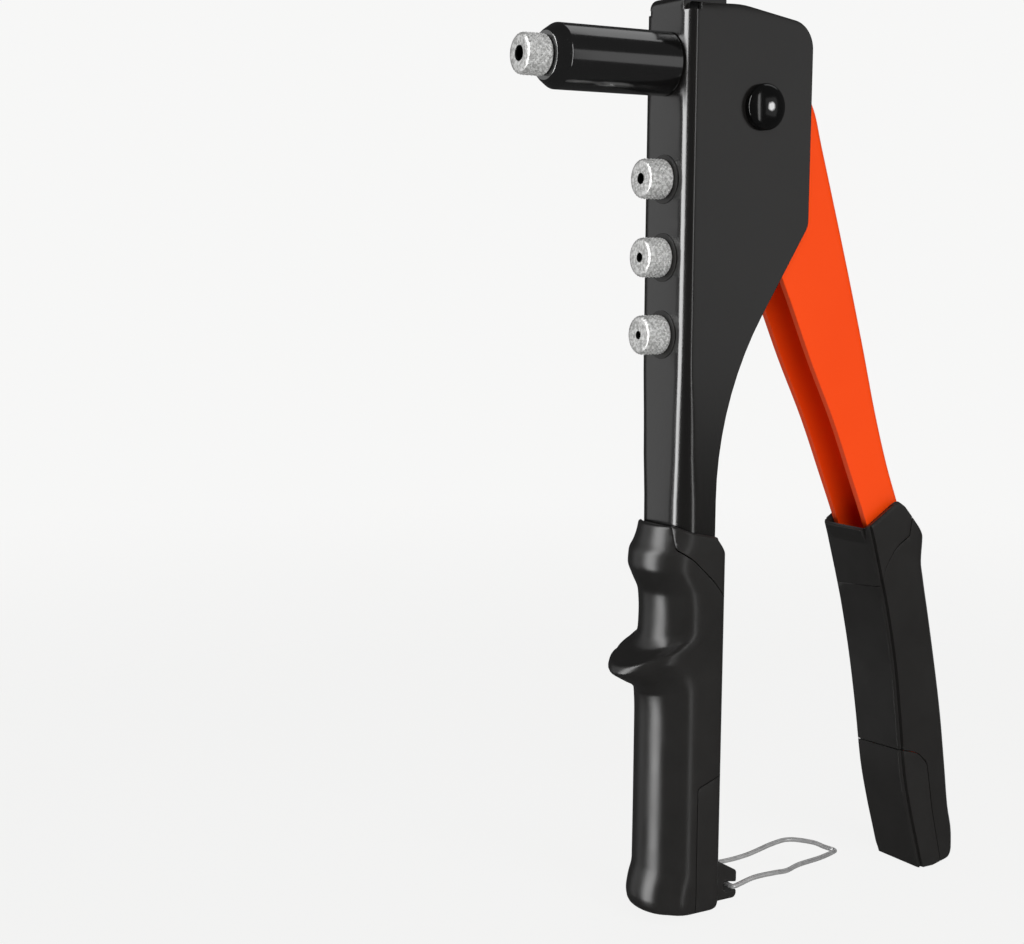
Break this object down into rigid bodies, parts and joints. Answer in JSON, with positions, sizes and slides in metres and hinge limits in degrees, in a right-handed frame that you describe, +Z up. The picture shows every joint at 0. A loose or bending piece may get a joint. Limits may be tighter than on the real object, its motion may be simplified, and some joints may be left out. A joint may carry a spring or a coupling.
{
  "type": "hand riveter",
  "caption": "Long-handled hand riveter: black pressed body with a nose barrel, orange lever, moulded grips, spare nosepieces screwed in the body and a wire handle bail.",
  "frame": {"origin": "middle of the bounding box at its bottom, level with the end of the moving handle", "axes": "+Z up the fixed handle to the head; -X the way the nose points; +X towards the moving handle; Y across the tool"},
  "size_m": [0.165, 0.03, 0.2693],
  "materials": {
    "body_paint": "satin black powder coat",
    "lever_paint": "glossy orange powder coat",
    "gloss_black": "gloss black plating",
    "grip_soft": "matt black soft grip",
    "grip_hard": "moulded black plastic",
    "nosepiece_steel": "bright zinc-plated, knurled",
    "tool_steel": "turned steel",
    "spring_wire": "drawn spring wire"
  },
  "bodies": {
    "frame": {"body_channel": "body_paint", "nose_barrel": "gloss_black", "barrel_lock_ring": "tool_steel", "pivot_bolt": "gloss_black", "pivot_nut": "gloss_black", "pivot_washer_near": "tool_steel", "pivot_washer_far": "tool_steel", "return_spring": "spring_wire", "fixed_grip": "grip_soft", "fixed_grip_collar": "grip_hard", "fixed_grip_heel": "grip_hard"},
    "lever": {"lever_channel": "lever_paint", "pivot_bush": "tool_steel", "moving_grip": "grip_soft", "moving_grip_collar": "grip_hard", "moving_grip_heel": "grip_hard"},
    "jaw_carrier": {"jaw_case": "tool_steel", "pull_crosshead": "tool_steel", "crosshead_lock_nut": "tool_steel", "jaw_spring": "spring_wire"},
    "upper_jaw": {"jaw_upper": "tool_steel"},
    "lower_jaw": {"jaw_lower": "tool_steel"},
    "pusher": {"jaw_pusher": "tool_steel"},
    "bail": {"bail_wire": "spring_wire"},
    "fitted_tip": {"nosepiece_4_8mm": "nosepiece_steel"},
    "spare_tip_top": {"nosepiece_4_0mm": "nosepiece_steel"},
    "spare_tip_middle": {"nosepiece_3_2mm": "nosepiece_steel"},
    "spare_tip_bottom": {"nosepiece_2_4mm": "nosepiece_steel"}
  },
  "joints": [
    {"name": "lever_pivot", "type": "hinge", "parent": "frame", "child": "lever", "pos_m": [-0.00755, 0, 0.2393], "axis": [0, 1, 0], "range_deg": [0, 17], "stiffness_Nm_per_rad": 3, "springref_deg": -11.46, "deforming": ["return_spring", "bail_wire"]},
    {"name": "jaw_case_slide", "type": "slide", "parent": "frame", "child": "jaw_carrier", "axis": [1, 0, 0], "range_m": [0, 0.0038], "deforming": ["jaw_spring"]},
    {"name": "upper_jaw_slide", "type": "slide", "parent": "jaw_carrier", "child": "upper_jaw", "axis": [-0.9781, 0, -0.2079], "range_m": [0, 0.00122]},
    {"name": "lower_jaw_slide", "type": "slide", "parent": "jaw_carrier", "child": "lower_jaw", "axis": [-0.9781, 0, 0.2079], "range_m": [0, 0.00122]},
    {"name": "pusher_slide", "type": "slide", "parent": "jaw_carrier", "child": "pusher", "axis": [-1, 0, 0], "range_m": [0, 0.0012]},
    {"name": "bail_pivot", "type": "hinge", "parent": "frame", "child": "bail", "pos_m": [-0.01195, 0, 0.0089], "axis": [0, -1, 0], "range_deg": [-90, 90]},
    {"name": "fitted_tip_unscrew", "type": "slide", "parent": "frame", "child": "fitted_tip", "axis": [-1, 0, 0], "range_m": [0, 0.009]},
    {"name": "spare_tip_top_unscrew", "type": "slide", "parent": "frame", "child": "spare_tip_top", "axis": [-1, 0, 0], "range_m": [0, 0.009]},
    {"name": "spare_tip_middle_unscrew", "type": "slide", "parent": "frame", "child": "spare_tip_middle", "axis": [-1, 0, 0], "range_m": [0, 0.009]},
    {"name": "spare_tip_bottom_unscrew", "type": "slide", "parent": "frame", "child": "spare_tip_bottom", "axis": [-1, 0, 0], "range_m": [0, 0.009]}
  ],
  "couplings": [
    {"joint": "jaw_case_slide", "follows": "lever_pivot", "m_per_rad": 0.0127},
    {"joint": "upper_jaw_slide", "follows": "lever_pivot", "m_per_rad": 0.004044},
    {"joint": "lower_jaw_slide", "follows": "lever_pivot", "m_per_rad": 0.004044},
    {"joint": "pusher_slide", "follows": "lever_pivot", "m_per_rad": 0.003956}
  ]
}
